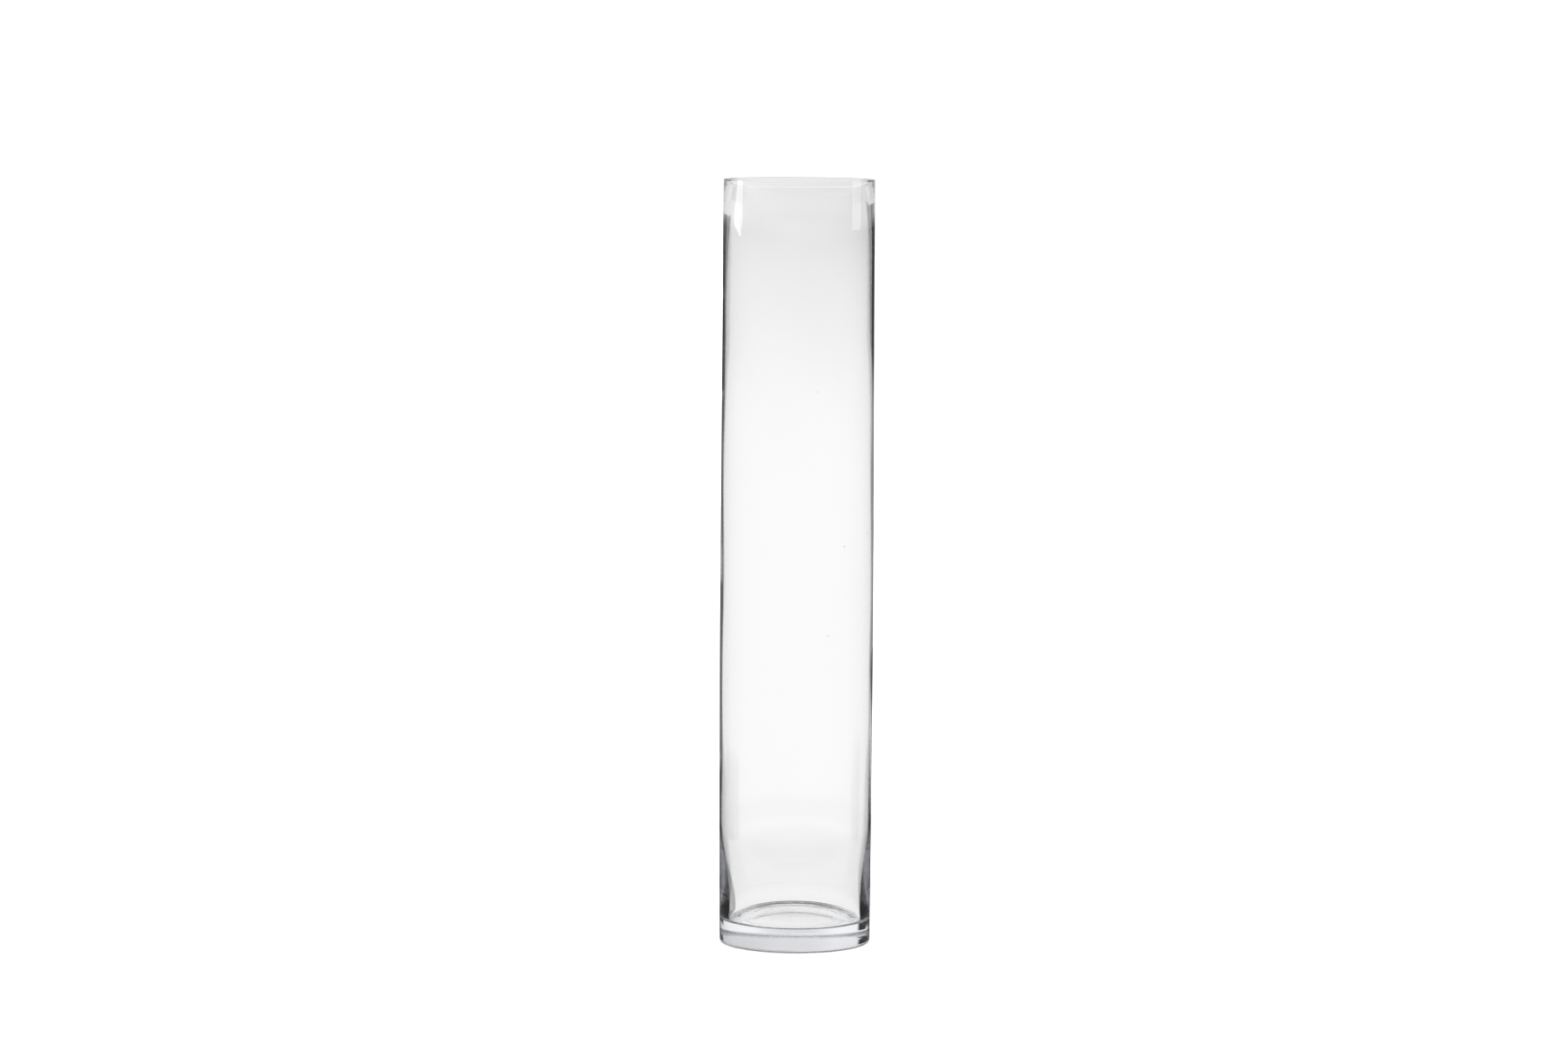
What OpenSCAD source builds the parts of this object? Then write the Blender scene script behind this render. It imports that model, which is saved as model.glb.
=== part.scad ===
// Tall clear glass cylinder vase, blown in a mould with a heavy base.
// The glass is one continuous body, divided here at its three zones, from the top:
// the lip, ground flat and polished, the blown wall, and the thick base.
// Each zone is a ring or dish turned about the Z axis, and the zones meet face to face.
// The origin is the centre of the face that the vase stands on, with +Z up.

/* [Body] */
// Overall height of the vase
vase_h = 600; // [300:10:700]
// Outside radius at the lip
rim_r = 59.2; // [50:0.1:75]
// Outside radius at the foot, where the wall would meet the table
foot_r = 59.4; // [50:0.1:75]
// How far the blown wall swells outside a straight line from foot to lip
belly = 0.95; // [0:0.05:2]

/* [Wall] */
// Thickness of the blown wall at its thinnest
wall_t = 1.8; // [1.5:0.1:4]
// Distance below the lip over which the wall thins to about a third of its extra thickness
shoulder_run = 26; // [15:1:60]
// Height at which the wall starts to thicken towards the base
heel_top = 92; // [80:2:140]
// Height at which the heel has its full thickness, down to the inside floor
heel_low = 22; // [15:1:40]
// Thickness that the heel adds to the wall
heel_t = 5.7; // [3:0.1:10]

/* [Lip] */
// Height of the lip, whose bore is a true cylinder
lip_h = 8; // [5:1:15]
// Thickness of the glass at the lip
lip_t = 5.2; // [4:0.1:8]
// Radius of the polished outside edge of the lip
lip_edge = 0.8; // [0.3:0.1:1.5]
// Width of the ground bevel on the inside edge of the lip
lip_bevel = 0.8; // [0.3:0.1:1.5]

/* [Base] */
// Thickness of the glass under the inside floor
floor_z = 17.5; // [14:0.5:28]
// Radius of the hollow where the inside floor turns up into the wall
floor_fillet = 3; // [2:0.5:10]
// Height of the base zone, where it meets the wall zone
base_h = 45; // [40:1:60]
// Radius of the rounded edge round the foot
foot_edge = 2.5; // [2:0.5:6]
// Inside radius of the flat ring that the vase stands on
ring_r = 44; // [35:1:50]
// Height of the hollow under the middle of the base
punt_h = 0.8; // [0.4:0.1:3]

/* [Hidden] */
$fn = 180;
glass = [0.86, 0.92, 0.93, 0.45];
// Share of the height, from the lip down, at which the belly is widest, as a power of that share
belly_power = 1.4;
wall_rings = 24;
heel_rings = 8;
base_rings = 4;
arc_steps = 8;
punt_steps = 6;
// Gap between the last ring of one stretch of the wall and the first ring of the next
ring_gap = 5;
fillet_gap = 1;
lip_z = vase_h - lip_h;
mouth_r = rim_r - lip_t;
fillet_z = floor_z + floor_fillet;
fillet_r = inner_r(fillet_z) - floor_fillet;
// Heights of the wall's rings, closer together in the heel
wall_heights = concat(
    heights(base_h, heel_top - ring_gap, heel_rings),
    heights(heel_top, lip_z, wall_rings)
);

// Outside radius of the wall at height z
function outer_r(z) =
    let (down = min(1, max(0, 1 - z / lip_z)))
    rim_r + (foot_r - rim_r) * down + belly * sin(180 * pow(down, belly_power));

// Thickness of the wall at height z, in its shoulder under the lip, its middle and its heel
function wall_thickness(z) =
    wall_t
    + (lip_t - wall_t) * exp(-(lip_z - z) / shoulder_run)
    + heel_t * smooth((heel_top - z) / (heel_top - heel_low));

// A smooth step from 0 at 0 to 1 at 1
function smooth(share) = let (s = min(1, max(0, share))) s * s * (3 - 2 * s);

// Inside radius of the wall at height z
function inner_r(z) = outer_r(z) - wall_thickness(z);

// Points of an arc about [r, z], from angle a to angle b
function arc(r, z, radius, a, b) = [
    for (i = [0 : arc_steps])
        let (t = a + (b - a) * i / arc_steps)
        [r + radius * cos(t), z + radius * sin(t)]
];

// Evenly spaced heights from low to high
function heights(low, high, count) = [for (i = [0 : count]) low + (high - low) * i / count];

// Points up the outside of the glass at these heights
function outside(zs) = [for (z = zs) [outer_r(z), z]];

// Points down the inside of the glass at these heights
function inside(zs) = [for (i = [len(zs) - 1 : -1 : 0]) [inner_r(zs[i]), zs[i]]];

// Points across the hollow under the base, from its middle out to the standing ring
function punt() = [
    for (i = [0 : punt_steps])
        let (r = ring_r * i / punt_steps)
        [r, punt_h * (1 - pow(r / ring_r, 2))]
];

// A ring or dish of glass, turned from its outline
module turned(outline) {
    color(glass)
        rotate_extrude()
            polygon(outline);
}

// Flat ground lip with a polished outside edge, a small inside bevel and a cylindrical mouth
module lip() {
    turned(concat(
        [[mouth_r, lip_z], [rim_r, lip_z]],
        arc(rim_r - lip_edge, vase_h - lip_edge, lip_edge, 0, 90),
        [[mouth_r + lip_bevel, vase_h], [mouth_r, vase_h - lip_bevel]]
    ));
}

// Blown wall, thick under the lip, thin in the middle and thicker again towards the base
module wall() {
    turned(concat(outside(wall_heights), inside(wall_heights)));
}

// Heavy base with a rounded foot, a standing ring round a shallow hollow, and a flat inside floor
module base() {
    turned(concat(
        punt(),
        arc(outer_r(foot_edge) - foot_edge, foot_edge, foot_edge, -90, 0),
        outside(heights(2 * foot_edge, base_h, base_rings)),
        inside(heights(fillet_z + fillet_gap, base_h, heel_rings)),
        arc(fillet_r, fillet_z, floor_fillet, 0, -90),
        [[0, floor_z]]
    ));
}

lip();
wall();
base();
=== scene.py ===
"""A tall clear glass cylinder vase in a white studio.

The vase is one piece of blown glass, so it is one closed mesh that stands for the three CAD zones.
It is turned from the same outline as they are, with the unevenness that blowing, grinding and
pressing leave in the glass. Sizes are in metres.
"""

import math

import bmesh
import bpy
from mathutils import Matrix, Vector


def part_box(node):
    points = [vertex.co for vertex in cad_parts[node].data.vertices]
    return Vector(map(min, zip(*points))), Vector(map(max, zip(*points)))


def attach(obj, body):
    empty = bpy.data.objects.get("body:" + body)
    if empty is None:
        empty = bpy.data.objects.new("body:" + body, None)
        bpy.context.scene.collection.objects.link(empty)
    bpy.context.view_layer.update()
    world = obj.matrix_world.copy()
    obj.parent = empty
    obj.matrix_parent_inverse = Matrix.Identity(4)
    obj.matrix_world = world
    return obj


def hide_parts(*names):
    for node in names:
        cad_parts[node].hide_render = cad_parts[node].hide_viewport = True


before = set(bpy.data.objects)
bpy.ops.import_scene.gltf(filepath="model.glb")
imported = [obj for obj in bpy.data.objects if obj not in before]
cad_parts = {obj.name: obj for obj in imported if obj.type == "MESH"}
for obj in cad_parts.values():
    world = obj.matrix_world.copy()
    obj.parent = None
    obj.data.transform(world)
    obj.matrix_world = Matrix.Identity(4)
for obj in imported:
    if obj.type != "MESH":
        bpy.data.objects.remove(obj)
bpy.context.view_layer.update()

# The vase, from the frame
LIP_LOW, LIP_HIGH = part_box("lip")
WALL_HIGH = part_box("wall")[1]
HEIGHT = LIP_HIGH.z
LIP_Z = LIP_LOW.z
# The skin lies this far inside the CAD zones, so that it stays in their box
INSET = 0.0001
RIM_R = LIP_HIGH.x - INSET
BELLY_R = WALL_HIGH.x - INSET

# The wall's outside: its radius at the foot, and the share of the height, from the lip down, at
# which its belly is widest, with the power of that share that puts it there
FOOT_R = 0.0593
BELLY_DOWN = 0.61
BELLY_POWER = 1.4
# The wall's thickness: at the lip, at its thinnest, and what the heel adds
LIP_T = 0.0052
WALL_T = 0.0018
HEEL_T = 0.0057
# How far down the lip's extra thickness falls to a third, and where the heel starts and is full
SHOULDER_RUN = 0.026
HEEL_TOP = 0.092
HEEL_LOW = 0.022
# The base
FLOOR_Z = 0.0175
FLOOR_FILLET = 0.003
FOOT_EDGE = 0.0025
RING_R = 0.044
PUNT_H = 0.0008
# Radius of the lip's two worn edges
ARRIS = 0.0007
# How finely the glass is turned: corners round it, and the gap that keeps shading flat at an edge
AROUND = 256
GUARD = 0.00012


def smooth(low, high, value):
    """0 below low, 1 above high, and a smooth step between."""
    share = min(1.0, max(0.0, (value - low) / (high - low)))
    return share * share * (3 - 2 * share)


# ---------------------------------------------------------------- outline

def outer_r(z):
    """Outside radius of the glass at height z."""
    down = min(1.0, max(0.0, 1 - z / LIP_Z))
    belly = BELLY_R - RIM_R - (FOOT_R - RIM_R) * BELLY_DOWN
    return RIM_R + (FOOT_R - RIM_R) * down + belly * math.sin(math.pi * down ** BELLY_POWER)


def wall_t(z):
    """Thickness of the wall at height z: it thins from the lip down, and thickens again in the heel."""
    shoulder = (LIP_T - WALL_T) * math.exp(-(HEIGHT - z) / SHOULDER_RUN)
    return WALL_T + shoulder + HEEL_T * (1 - smooth(HEEL_LOW, HEEL_TOP, z))


def inner_r(z):
    """Inside radius of the wall at height z."""
    return outer_r(z) - wall_t(z)


def arc(r, z, radius, start, end, steps):
    """Points of an arc about (r, z), in degrees from the horizontal."""
    angles = [math.radians(start + (end - start) * i / steps) for i in range(steps + 1)]
    return [(r + radius * math.cos(a), z + radius * math.sin(a)) for a in angles]


def between(low, high, count):
    """Evenly spaced values strictly between low and high."""
    return [low + (high - low) * (i + 1) / (count + 1) for i in range(count)]


def guard_points(a, b):
    """Two points close to the ends of the gap from a to b, which keep its shading flat up to them."""
    length = math.dist(a, b)
    if length < 3 * GUARD:
        return []
    share = GUARD / length
    return [tuple(p + (q - p) * s for p, q in zip(a, b)) for s in (share, 1 - share)]


def outline():
    """The glass's outline from the middle of the underside out, up, over the lip and down to the floor."""
    mouth_r = RIM_R - LIP_T
    fillet_z = FLOOR_Z + FLOOR_FILLET
    fillet_r = inner_r(fillet_z) - FLOOR_FILLET
    foot_r = outer_r(FOOT_EDGE) - FOOT_EDGE
    lip_low = HEIGHT - ARRIS
    runs = [
        ("under", [(r, PUNT_H * (1 - (r / RING_R) ** 2)) for r in between(0, RING_R, 32)]),
        ("under", [(r, 0.0) for r in between(RING_R, foot_r, 8)]),
        ("outside", arc(foot_r, FOOT_EDGE, FOOT_EDGE, -90, 0, 12)),
        ("outside", [(outer_r(z), z) for z in between(FOOT_EDGE, lip_low, 100)]),
        ("lip", arc(RIM_R - ARRIS, lip_low, ARRIS, 0, 90, 6)),
        ("lip", [(RIM_R - LIP_T * share, HEIGHT) for share in (0.35, 0.5, 0.65)]),
        ("lip", arc(mouth_r + ARRIS, lip_low, ARRIS, 90, 180, 6)),
        ("inside", [(inner_r(z), z) for z in reversed(between(fillet_z, lip_low, 120))]),
        ("inside", arc(fillet_r, fillet_z, FLOOR_FILLET, 0, -90, 12)),
        ("inside", [(r, FLOOR_Z) for r in reversed(between(0, fillet_r, 44))]),
    ]
    points = []
    for kind, run in runs:
        if points:
            points += [(kind, point) for point in guard_points(points[-1][1], run[0])]
        points += [(kind, point) for point in run]
    return points


# ---------------------------------------------------------------- unevenness

# Waves of the blown wall: size, waves round it, change with height, and share of the phase
WALL_WAVES = [(0.50, 2, 5.0, 1.0), (0.30, 3, -17.0, 2.1), (0.20, 5, 41.0, 0.7)]
# Ripples of the pressed foot: waves round it, and where they start
FOOT_WAVES = [(29, 0.5), (17, 2.0), (41, 1.1)]
# Half of how much each surface rises and falls
OUTSIDE_UNEVEN = 0.00006
FOOT_UNEVEN = 0.00004
INSIDE_UNEVEN = 0.00022
FLOOR_RINGS = 0.00007
FLOOR_DRIFT = 0.00003
UNDER_COARSE = 0.00005
UNDER_FINE = 0.00002
# Height of the crown in the middle of the inside floor, and the gap between the rings round it
CROWN_H = 0.00030
RING_GAP = 0.0062
# Distance below the ground lip over which the unevenness comes in
LIP_CALM = 0.15


def waves(theta, z, phase):
    """Slow unevenness of blown glass round and along the wall, about -1 to 1."""
    total = 0
    for size, around, along, share in WALL_WAVES:
        total += size * math.sin(around * theta + along * z + share * phase)
    return total


def uneven_outside(theta, r, z):
    """Radius of the outside of the glass, which is never more than r."""
    blown = OUTSIDE_UNEVEN * (waves(theta, z, 0.4) - 1) * smooth(0.0, LIP_CALM, HEIGHT - z)
    press = sum(math.sin(around * theta + start) for around, start in FOOT_WAVES)
    pressed = FOOT_UNEVEN * (press - len(FOOT_WAVES)) * (1 - smooth(0.001, 0.006, z))
    return r + blown + pressed


def uneven_inside(theta, r, z):
    """Radius of the inside of the wall, more uneven than the outside, because no mould touched it."""
    fade = smooth(0.0, LIP_CALM, HEIGHT - z) * smooth(0.02, 0.12, z - FLOOR_Z)
    return r + fade * INSIDE_UNEVEN * waves(theta, z, 3.0)


def floor_ripple(theta, r, z):
    """Height of the inside floor: rings round its edge, left by the gather, and a calm middle."""
    fade = 1 - smooth(FLOOR_Z, FLOOR_Z + FLOOR_FILLET, z)
    x, y = r * math.cos(theta), r * math.sin(theta)
    rings = math.cos(math.tau * r / RING_GAP + 0.8 * math.sin(theta)) * smooth(0.030, 0.042, r)
    crown = CROWN_H * (1 - smooth(0.030, 0.046, r))
    drift = FLOOR_DRIFT * math.sin(70 * x + 1.0) * math.cos(60 * y)
    return z + fade * (FLOOR_RINGS * rings + crown + drift)


def under_ripple(theta, r, z):
    """Height of the underside, uneven where the hot glass was pressed, and never below z."""
    x, y = r * math.cos(theta), r * math.sin(theta)
    coarse = math.sin(620 * x + 0.6 + 2 * math.sin(170 * y)) * math.sin(540 * y + 1.1)
    fine = math.sin(900 * (x - y) + 3 * math.sin(230 * x))
    fade = smooth(0.036, 0.046, r)
    return z + fade * (UNDER_COARSE * (coarse + 1) + UNDER_FINE * (fine + 1))


# ---------------------------------------------------------------- mesh

def place(kind, theta, r, z):
    """A point of the glass at angle theta, with its surface's unevenness."""
    if kind == "under":
        z = under_ripple(theta, r, z)
    elif kind == "outside":
        r = uneven_outside(theta, r, z)
    elif kind == "inside":
        r = uneven_inside(theta, r, z)
        z = floor_ripple(theta, r, z)
    return Vector((r * math.cos(theta), r * math.sin(theta), z))


def turn_glass(mesh):
    """Turns the outline about Z into a closed skin in mesh."""
    angles = [math.tau * k / AROUND for k in range(AROUND)]
    rings = [[mesh.verts.new(place(kind, a, r, z)) for a in angles] for kind, (r, z) in outline()]
    for lower, upper in zip(rings, rings[1:]):
        for k in range(AROUND):
            n = (k + 1) % AROUND
            mesh.faces.new((lower[k], lower[n], upper[n], upper[k]))
    underside = mesh.verts.new(place("under", 0, 0, PUNT_H))
    floor = mesh.verts.new(place("inside", 0, 0, FLOOR_Z))
    for k in range(AROUND):
        n = (k + 1) % AROUND
        mesh.faces.new((underside, rings[0][n], rings[0][k]))
        mesh.faces.new((floor, rings[-1][k], rings[-1][n]))


# Seeds in the wall: angle in degrees, height, length along the wall
SEEDS = [
    (-52, 0.317, 0.0011),
    (-22, 0.326, 0.0013),
    (-66, 0.248, 0.0009),
    (74, 0.430, 0.0010),
    (160, 0.205, 0.0012),
]
SEED_WIDTH = 0.0007


def add_seed(mesh, degrees, z, length):
    """A small drawn-out air bubble inside the wall: a closed skin that faces into the air."""
    theta = math.radians(degrees)
    r = outer_r(z) - wall_t(z) / 2
    spot = Matrix.Translation((r * math.cos(theta), r * math.sin(theta), z))
    size = Matrix.Diagonal((SEED_WIDTH, SEED_WIDTH, length, 1))
    made = bmesh.ops.create_icosphere(mesh, subdivisions=2, radius=0.5, matrix=spot @ size)
    faces = {face for vert in made["verts"] for face in vert.link_faces}
    bmesh.ops.reverse_faces(mesh, faces=list(faces))


def make_vase():
    """The whole vase as one closed glass mesh."""
    mesh = bmesh.new()
    turn_glass(mesh)
    for degrees, z, length in SEEDS:
        add_seed(mesh, degrees, z, length)
    for face in mesh.faces:
        face.smooth = True
    data = bpy.data.meshes.new("vase_glass")
    mesh.to_mesh(data)
    mesh.free()
    vase = bpy.data.objects.new("vase_glass", data)
    bpy.context.scene.collection.objects.link(vase)
    return vase


# ---------------------------------------------------------------- node arithmetic

class Maths:
    """Writes shader arithmetic as nodes in one tree."""

    def __init__(self, tree):
        self.tree = tree

    def node(self, kind, **settings):
        made = self.tree.nodes.new(kind)
        for name, value in settings.items():
            setattr(made, name, value)
        return made

    def plug(self, value, socket):
        if isinstance(value, (int, float)):
            socket.default_value = value
        else:
            self.tree.links.new(value, socket)

    def do(self, operation, *values):
        made = self.node("ShaderNodeMath", operation=operation)
        for socket, value in zip(made.inputs, values):
            self.plug(value, socket)
        return made.outputs[0]

    def step(self, low, high, value):
        """0 below low, 1 above high, and a smooth step between."""
        made = self.node("ShaderNodeMapRange", interpolation_type="SMOOTHSTEP")
        self.plug(low, made.inputs["From Min"])
        self.plug(high, made.inputs["From Max"])
        self.plug(value, made.inputs["Value"])
        return made.outputs["Result"]

    def below(self, low, high, value):
        """1 below low, 0 above high, and a smooth step between."""
        return self.no(self.step(low, high, value))

    def no(self, value):
        return self.do("SUBTRACT", 1.0, value)

    def both(self, first, *others):
        """1 where all the values are 1."""
        for other in others:
            first = self.do("MULTIPLY", first, other)
        return first

    def either(self, a, b):
        return self.do("MAXIMUM", a, b)

    def noise(self, coords, scale, detail):
        """Noise of about this many lumps a metre."""
        made = self.node("ShaderNodeTexNoise")
        self.plug(coords, made.inputs["Vector"])
        made.inputs["Scale"].default_value = scale
        made.inputs["Detail"].default_value = detail
        return made.outputs[0]

    def mix(self, share, a, b):
        """a where share is 0, b where it is 1."""
        made = self.node("ShaderNodeMix")
        self.plug(share, made.inputs["Factor"])
        self.plug(a, made.inputs["A"])
        self.plug(b, made.inputs["B"])
        return made.outputs["Result"]


# ---------------------------------------------------------------- material

# Share of each colour that the glass lets by, against which its absorption is worked out
GLASS_TINT = (0.90, 0.91, 0.97, 1.0)
GLASS_DENSITY = 4.0
GLASS_IOR = 1.5
# Height of the fine cords in the surface, how many lie in a metre, and how far they are drawn up it
CORD_HEIGHT = 0.00001
CORDS_PER_METRE = 40.0
DRAWN_UP = (1.0, 1.0, 0.25)
# Roughness of the worn ring where it is less and more worn, and of the ground lip
WORN_LEAST, WORN_MOST = 0.28, 0.50
GROUND_LIP = 0.05


def satin(maths, radius, height):
    """Roughness: a worn ring where the vase stands, patchy and scratched, and a fine grind on the lip."""
    coords = maths.node("ShaderNodeTexCoord").outputs["Object"]
    patches = maths.noise(coords, 90.0, 3.0)
    scratches = maths.noise(coords, 1400.0, 2.0)
    ring = maths.both(maths.step(RING_R, RING_R + 0.0025, radius), maths.below(0.0012, 0.0030, height))
    worn = maths.both(ring, maths.mix(maths.step(0.40, 0.60, patches), WORN_LEAST, WORN_MOST))
    worn = maths.both(worn, maths.mix(maths.step(0.35, 0.65, scratches), 0.70, 1.0))
    ground = maths.both(maths.step(HEIGHT - 0.0002, HEIGHT - 0.0001, height), GROUND_LIP)
    return maths.either(worn, ground)


def glass_material():
    """Clear soda-lime glass: faintly wavy and cool, satin on its worn standing ring and its ground lip."""
    material = bpy.data.materials.new("clear_glass")
    material.use_nodes = True
    maths = Maths(material.node_tree)
    shader = material.node_tree.nodes["Principled BSDF"]
    shader.inputs["Base Color"].default_value = (1.0, 1.0, 1.0, 1.0)
    shader.inputs["IOR"].default_value = GLASS_IOR
    shader.inputs["Transmission Weight"].default_value = 1.0

    coords = maths.node("ShaderNodeTexCoord").outputs["Object"]
    split = maths.node("ShaderNodeSeparateXYZ")
    maths.plug(coords, split.inputs[0])
    x, y, height = split.outputs
    radius = maths.do("SQRT", maths.do("ADD", maths.do("MULTIPLY", x, x), maths.do("MULTIPLY", y, y)))
    maths.plug(satin(maths, radius, height), shader.inputs["Roughness"])

    drawn = maths.node("ShaderNodeMapping")
    drawn.inputs["Scale"].default_value = DRAWN_UP
    maths.plug(coords, drawn.inputs["Vector"])
    cords = maths.noise(drawn.outputs["Vector"], CORDS_PER_METRE, 0.0)
    bump = maths.node("ShaderNodeBump")
    bump.inputs["Strength"].default_value = 1.0
    bump.inputs["Distance"].default_value = CORD_HEIGHT
    maths.plug(cords, bump.inputs["Height"])
    maths.plug(bump.outputs["Normal"], shader.inputs["Normal"])

    absorption = maths.node("ShaderNodeVolumeAbsorption")
    absorption.inputs["Color"].default_value = GLASS_TINT
    absorption.inputs["Density"].default_value = GLASS_DENSITY
    output = material.node_tree.nodes["Material Output"]
    maths.plug(absorption.outputs["Volume"], output.inputs["Volume"])
    return material


# ---------------------------------------------------------------- studio

# Soft edges in the room, in degrees: a pair is where one starts and ends, and four numbers are two
# of them, with the thing between. Rise is up from level, turn is left of the far side, away is turn
# without its sign, and tilt is rise without its sign.
HIGH_UP = (-5.0, 1.5)
MIDDLE = (-10.0, 10.0)
LEFT_HALF = (-3.0, 3.0)
LIP_ZONE = (-4.5, -3.0)
BASE_ZONE = (-9.0, -7.4)
THROUGH_FLOOR = (-16.0, -9.0)
BAND_TILT = (4.0, 6.0)
BAND_AHEAD = (6.0, 26.0)
BASE_CARD_TILT = (7.7, 8.4, 14.0, 16.0)
BASE_CARD_LEFT = (44.0, 50.0, 80.0, 86.0)
BASE_CARD_RIGHT = (-86.0, -80.0, -66.0, -60.0)
GLANCE_END = (3.0, 6.0)
FAR_SIDE = (36.0, 40.0)
BEHIND = (88.0, 92.0)
BEHIND_RISE = (-21.5, -20.5, -17.5, -16.5)
STEEP = (-27.5, -26.0)
OVERHEAD = (20.0, 30.0)
HORIZON = (-1.85, -1.65)
TABLE_BY_BASE = (-38.0, -34.0)
TABLE_BY_WALL = (-52.0, -46.0)
TABLE_AWAY = (55.0, 60.0)
APART = (4.0, 7.0)
NEAR_IN_ZONE = (46.0, 52.0)
NEAR_IN_CALM = (28.0, 34.0)
# The cards that the wall shows are repeated round the room every this many degrees
CARD_EVERY = 45.0
# Rise at which the cards end, on the right and on the left, and how soft that edge is either way
CARD_TOP_RIGHT, CARD_TOP_LEFT = 6.5, 4.1
CARD_TOP_SOFT = 0.3
# How much lower the cards end where the wall shows them, with that edge's width
WALL_CARD_DOWN, WALL_CARD_SOFT = 1.6, 0.6
# Turn at which those cards start, by the base, near the lip and in the calm middle, with its width
CARD_BY_BASE, CARD_BY_LIP, CARD_IN_CALM = 15.0, 10.0, 21.0
CARD_SIDE_SOFT = 1.2

# Brightness of the room, and of its high part on each side
ROOM, ROOM_RIGHT, ROOM_LEFT = 1.02, 0.74, 0.90
# Brightness through the inside floor, and straight through the base
FLOOR_GLOW = 0.93
BAND_GREY = 0.80
# Brightness of the cards, and of the table's edge
BASE_CARD = 0.02
WALL_CARD = 0.30
TABLE = 0.03
# Brightness where light glanced once or more often off the wall, in the zones and in the calm
ONCE_IN_ZONE, ONCE_IN_CALM = 0.20, 0.70
OFTEN_IN_ZONE, OFTEN_IN_CALM = 0.90, 0.95
# Brightness where light ran inside the glass: on the right and the left, in the calm and the lip
CALM_RIGHT, CALM_LEFT = 0.40, 0.16
LIP_RIGHT, LIP_LEFT = 0.04, 0.08
BASE_LEVEL, BASE_STEEP = 0.02, 0.40
ABOVE_CARDS, FAR_ABOVE = 0.25, 0.90
# Brightness that the outside of the glass reflects, below the horizon and above it
SHINE_LOW, SHINE_HIGH = 0.06, 0.8
# Brightness of what the camera sees behind the vase, and of what lights the floor
BACKDROP = 1.2
FLOOR_LIGHT = 1.9


class Room(Maths):
    """How a ray reached the room, as nodes that are 1 where the thing is so, or an angle in degrees."""

    def __init__(self, tree):
        super().__init__(tree)
        split = self.node("ShaderNodeSeparateXYZ")
        self.plug(self.node("ShaderNodeTexCoord").outputs["Generated"], split.inputs[0])
        leftward = self.do("MULTIPLY", split.outputs["X"], -1.0)
        self.rise = self.do("DEGREES", self.do("ARCSINE", split.outputs["Z"]))
        self.turn = self.do("DEGREES", self.do("ARCTAN2", leftward, split.outputs["Y"]))
        self.away = self.do("ABSOLUTE", self.turn)
        self.tilt = self.do("ABSOLUTE", self.rise)
        self.left = self.step(*LEFT_HALF, self.turn)

        # crossed counts the surfaces that the ray went through: four or more when it saw the hollow.
        # bounced and often say that it glanced off one surface, or off more than one.
        self.path = self.node("ShaderNodeLightPath").outputs
        crossed = self.path["Transmission Depth"]
        self.bounced = self.do("GREATER_THAN", self.path["Glossy Depth"], 0.5)
        self.often = self.do("GREATER_THAN", self.path["Glossy Depth"], 1.5)
        self.hollow = self.do("GREATER_THAN", crossed, 3.5)
        self.solid = self.both(self.do("GREATER_THAN", crossed, 1.5), self.no(self.hollow))
        self.outer = self.both(self.do("LESS_THAN", crossed, 0.5), self.bounced)

        # Seen from a little above, the lip shows the higher rays and the base the lower ones
        self.upper = self.step(*LIP_ZONE, self.rise)
        self.lower = self.below(*BASE_ZONE, self.rise)
        self.calm = self.no(self.either(self.upper, self.lower))
        self.card_top = self.mix(self.left, CARD_TOP_RIGHT, CARD_TOP_LEFT)
        top_start = self.do("SUBTRACT", self.card_top, CARD_TOP_SOFT)
        top_end = self.do("ADD", self.card_top, CARD_TOP_SOFT)
        self.low = self.below(top_start, top_end, self.rise)

    def within(self, edges, value):
        """1 between two soft edges, 0 outside them."""
        return self.both(self.step(*edges[:2], value), self.below(*edges[2:], value))


def white_room(room):
    """The white room, darker high up on the right, and a little darker through the inside floor."""
    both, mix = room.both, room.mix
    high = mix(room.step(*MIDDLE, room.turn), ROOM_RIGHT, ROOM_LEFT)
    light = mix(room.step(*HIGH_UP, room.rise), ROOM, high)
    light = mix(both(room.hollow, room.below(*THROUGH_FLOOR, room.rise)), light, FLOOR_GLOW)
    band = both(room.solid, room.step(*BAND_TILT, room.tilt), room.below(*BAND_AHEAD, room.away))
    return mix(band, light, BAND_GREY)


def cards_in_base(room, light):
    """Black cards on both sides, as the solid base shows them at its ends."""
    cards = room.either(room.within(BASE_CARD_RIGHT, room.turn), room.within(BASE_CARD_LEFT, room.turn))
    tilted = room.within(BASE_CARD_TILT, room.tilt)
    return room.mix(room.both(room.solid, tilted, cards), light, BASE_CARD)


def cards_in_wall(room, light):
    """Dark edges of the wall round the hollow: strong near the lip and the base, weak between."""
    both, mix = room.both, room.mix
    once = mix(room.calm, ONCE_IN_ZONE, ONCE_IN_CALM)
    dim = mix(room.often, once, mix(room.calm, OFTEN_IN_ZONE, OFTEN_IN_CALM))
    glances = both(room.bounced, room.hollow, room.below(*GLANCE_END, room.rise))
    light = mix(glances, light, dim)

    nearest = room.do("WRAP", room.turn, CARD_EVERY / 2, -CARD_EVERY / 2)
    side = mix(room.below(*FAR_SIDE, room.away), nearest, room.turn)
    side = mix(room.upper, side, room.do("ABSOLUTE", side))
    start = mix(room.calm, mix(room.upper, CARD_BY_BASE, CARD_BY_LIP), CARD_IN_CALM)
    card_top = room.do("SUBTRACT", room.card_top, WALL_CARD_DOWN)
    low = room.below(card_top, room.do("ADD", card_top, WALL_CARD_SOFT), room.rise)
    cards = both(room.no(room.bounced), room.hollow, low)
    cards = both(cards, room.step(start, room.do("ADD", start, CARD_SIDE_SOFT), side))
    return mix(cards, light, WALL_CARD)


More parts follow.
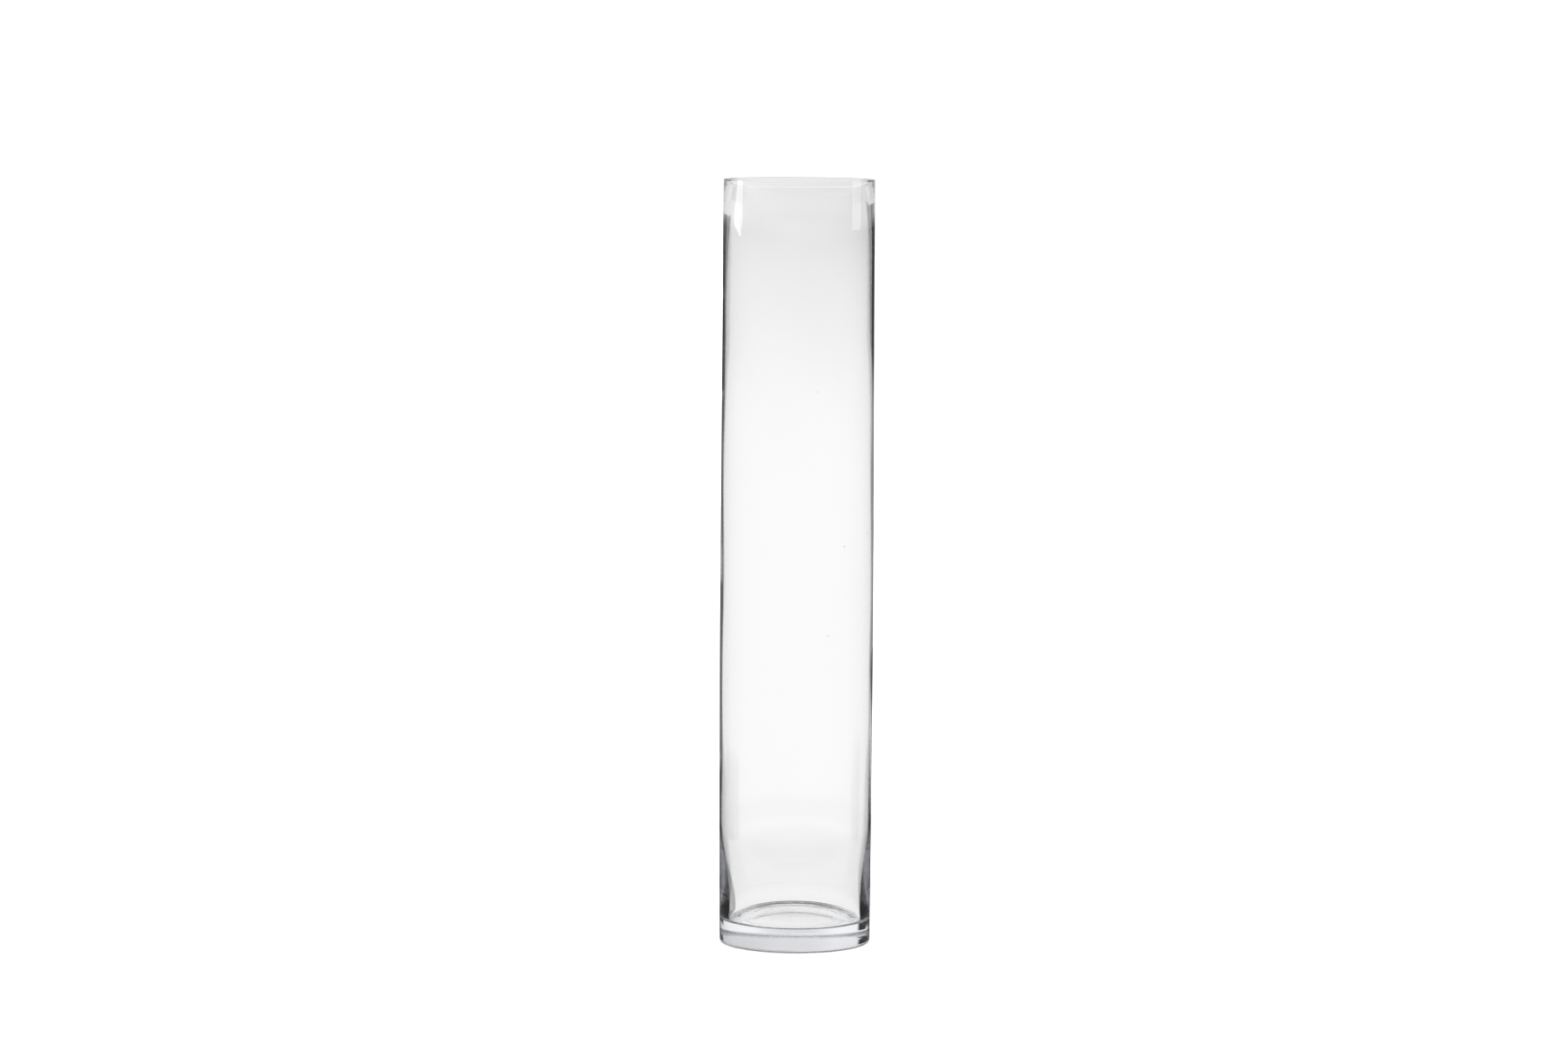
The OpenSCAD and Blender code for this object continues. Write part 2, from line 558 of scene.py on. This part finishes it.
def cards_inside_glass(room, light):
    """Dark lines from light that runs inside the glass of the wall and the base, and glances off it."""
    both, either, no, mix = room.both, room.either, room.no, room.mix
    zoned = no(room.calm)
    apart = either(room.step(*APART, room.away), zoned)
    near_start, near_end = (mix(room.calm, *pair) for pair in zip(NEAR_IN_ZONE, NEAR_IN_CALM))
    near = room.below(near_start, near_end, room.away)
    behind = both(room.step(*BEHIND, room.away), room.within(BEHIND_RISE, room.rise))
    wide = either(both(apart, near), both(room.often, zoned, no(behind)))

    by_base = mix(room.step(*STEEP, room.rise), BASE_STEEP, BASE_LEVEL)
    level = mix(room.lower, mix(room.left, CALM_RIGHT, CALM_LEFT), by_base)
    level = mix(room.upper, level, mix(room.left, LIP_RIGHT, LIP_LEFT))
    above = mix(room.step(*OVERHEAD, room.rise), ABOVE_CARDS, FAR_ABOVE)
    light = mix(both(room.often, room.solid, no(room.low)), light, above)
    return mix(both(room.bounced, room.solid, wide, room.low), light, level)


def table_edge(room, light):
    """The dark edge of the table, which only steep rays reach."""
    by_base = room.both(room.solid, room.below(*TABLE_BY_BASE, room.rise))
    by_wall = room.both(room.hollow, room.below(*TABLE_BY_WALL, room.rise))
    table = room.both(room.either(by_base, by_wall), room.below(*TABLE_AWAY, room.away))
    return room.mix(table, light, TABLE)


def light_world():
    """A white room whose sides are dark, as black cards beside the vase would make them.

    The room answers to how a ray reached it, so only the bent edges of the glass show the cards.
    """
    world = bpy.data.worlds.new("studio")
    bpy.context.scene.world = world
    world.use_nodes = True
    room = Room(world.node_tree)
    light = white_room(room)
    light = cards_in_base(room, light)
    light = cards_in_wall(room, light)
    light = cards_inside_glass(room, light)
    light = table_edge(room, light)

    # What the outside of the glass reflects, what the camera sees and what lights the floor
    light = room.mix(room.outer, light, room.mix(room.step(*HORIZON, room.rise), SHINE_LOW, SHINE_HIGH))
    light = room.mix(room.path["Is Camera Ray"], light, BACKDROP)
    light = room.mix(room.path["Is Diffuse Ray"], light, FLOOR_LIGHT)
    background = world.node_tree.nodes["Background"]
    room.plug(light, background.inputs["Strength"])
    background.inputs["Color"].default_value = (1.0, 1.0, 1.0, 1.0)


# How far the soft boxes stand from the vase's axis
SOFT_BOX_AWAY = 1.0
# The angles that each box spans, left of the far side, and the heights of its lower and upper
# edges along it: the left one is a slanting strip, then a tall part
LEFT_BOX = (66, 87)
LEFT_BOX_LOW = (0.535, 0.532, 0.528, 0.524, 0.543)
LEFT_BOX_HIGH = (0.548, 0.562, 0.580, 1.3, 1.3)
LEFT_BOX_STRENGTH = 3.5
RIGHT_BOX = (-94, -75)
RIGHT_BOX_LOW = (0.533, 0.533)
RIGHT_BOX_HIGH = (1.3, 1.3)
RIGHT_BOX_STRENGTH = 2.4


def soft_box(name, angles, lower, upper, strength):
    """A soft box standing round the vase between two angles, with its edges at these heights.

    Only the shine of the glass and the floor see it: the camera and the view through the glass don't.
    """
    mesh = bmesh.new()
    corners = []
    for i, (low, high) in enumerate(zip(lower, upper)):
        turn = math.radians(angles[0] + (angles[1] - angles[0]) * i / (len(lower) - 1))
        x, y = -SOFT_BOX_AWAY * math.sin(turn), SOFT_BOX_AWAY * math.cos(turn)
        corners.append((mesh.verts.new((x, y, low)), mesh.verts.new((x, y, high))))
    for (low_a, high_a), (low_b, high_b) in zip(corners, corners[1:]):
        mesh.faces.new((low_a, low_b, high_b, high_a))
    data = bpy.data.meshes.new(name)
    mesh.to_mesh(data)
    mesh.free()
    box = bpy.data.objects.new(name, data)
    bpy.context.scene.collection.objects.link(box)
    box.visible_camera = False
    box.visible_transmission = False
    box.visible_shadow = False
    material = bpy.data.materials.new(name)
    material.use_nodes = True
    shader = material.node_tree.nodes["Principled BSDF"]
    shader.inputs["Base Color"].default_value = (0.0, 0.0, 0.0, 1.0)
    shader.inputs["Specular IOR Level"].default_value = 0.0
    shader.inputs["Emission Color"].default_value = (1.0, 1.0, 1.0, 1.0)
    shader.inputs["Emission Strength"].default_value = strength
    data.materials.append(material)


# The floor's radius, how far it lies below the vase, and the corners round it
FLOOR_R = 14.0
FLOOR_BELOW = 0.0003
FLOOR_CORNERS = 96


def make_floor():
    """A pale floor. The glass doesn't show it: the low part of the white room stands for it there."""
    mesh = bmesh.new()
    turns = [math.tau * k / FLOOR_CORNERS for k in range(FLOOR_CORNERS)]
    corners = [(FLOOR_R * math.cos(a), FLOOR_R * math.sin(a), -FLOOR_BELOW) for a in turns]
    mesh.faces.new([mesh.verts.new(corner) for corner in corners])
    data = bpy.data.meshes.new("floor")
    mesh.to_mesh(data)
    mesh.free()
    floor = bpy.data.objects.new("floor", data)
    bpy.context.scene.collection.objects.link(floor)
    floor.visible_transmission = False
    floor.visible_glossy = False
    material = bpy.data.materials.new("floor_paper")
    material.use_nodes = True
    shader = material.node_tree.nodes["Principled BSDF"]
    shader.inputs["Base Color"].default_value = (0.95, 0.95, 0.95, 1.0)
    shader.inputs["Roughness"].default_value = 1.0
    shader.inputs["Specular IOR Level"].default_value = 0.0
    data.materials.append(material)


# The camera: lens in mm, place in metres, and angles in degrees
LENS = 115.8
CAMERA_PLACE = (0.0, -3.935, 0.6924)
CAMERA_YAW = 0.150
CAMERA_DOWN = 5.246
CAMERA_ROLL = 0.36


def make_camera():
    """A long lens, a little above the vase."""
    data = bpy.data.cameras.new("camera")
    camera = bpy.data.objects.new("camera", data)
    bpy.context.scene.collection.objects.link(camera)
    bpy.context.scene.camera = camera
    data.sensor_width = 36.0
    data.lens = LENS
    data.clip_end = 60.0
    spot = Matrix.Translation(CAMERA_PLACE)
    yaw = Matrix.Rotation(math.radians(CAMERA_YAW), 4, "Z")
    pitch = Matrix.Rotation(math.radians(90 - CAMERA_DOWN), 4, "X")
    roll = Matrix.Rotation(math.radians(CAMERA_ROLL), 4, "Z")
    camera.matrix_world = spot @ yaw @ pitch @ roll


make_camera()
light_world()
soft_box("soft_box_left", LEFT_BOX, LEFT_BOX_LOW, LEFT_BOX_HIGH, LEFT_BOX_STRENGTH)
soft_box("soft_box_right", RIGHT_BOX, RIGHT_BOX_LOW, RIGHT_BOX_HIGH, RIGHT_BOX_STRENGTH)
make_floor()
vase = make_vase()
vase.data.materials.append(glass_material())
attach(vase, "root")
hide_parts("lip", "wall", "base")

# Light that runs inside the glass of the wall bounces many times
BOUNCES = 64
scene = bpy.context.scene
scene.view_settings.view_transform = "Standard"
scene.cycles.max_bounces = BOUNCES
scene.cycles.transmission_bounces = BOUNCES
scene.cycles.glossy_bounces = BOUNCES
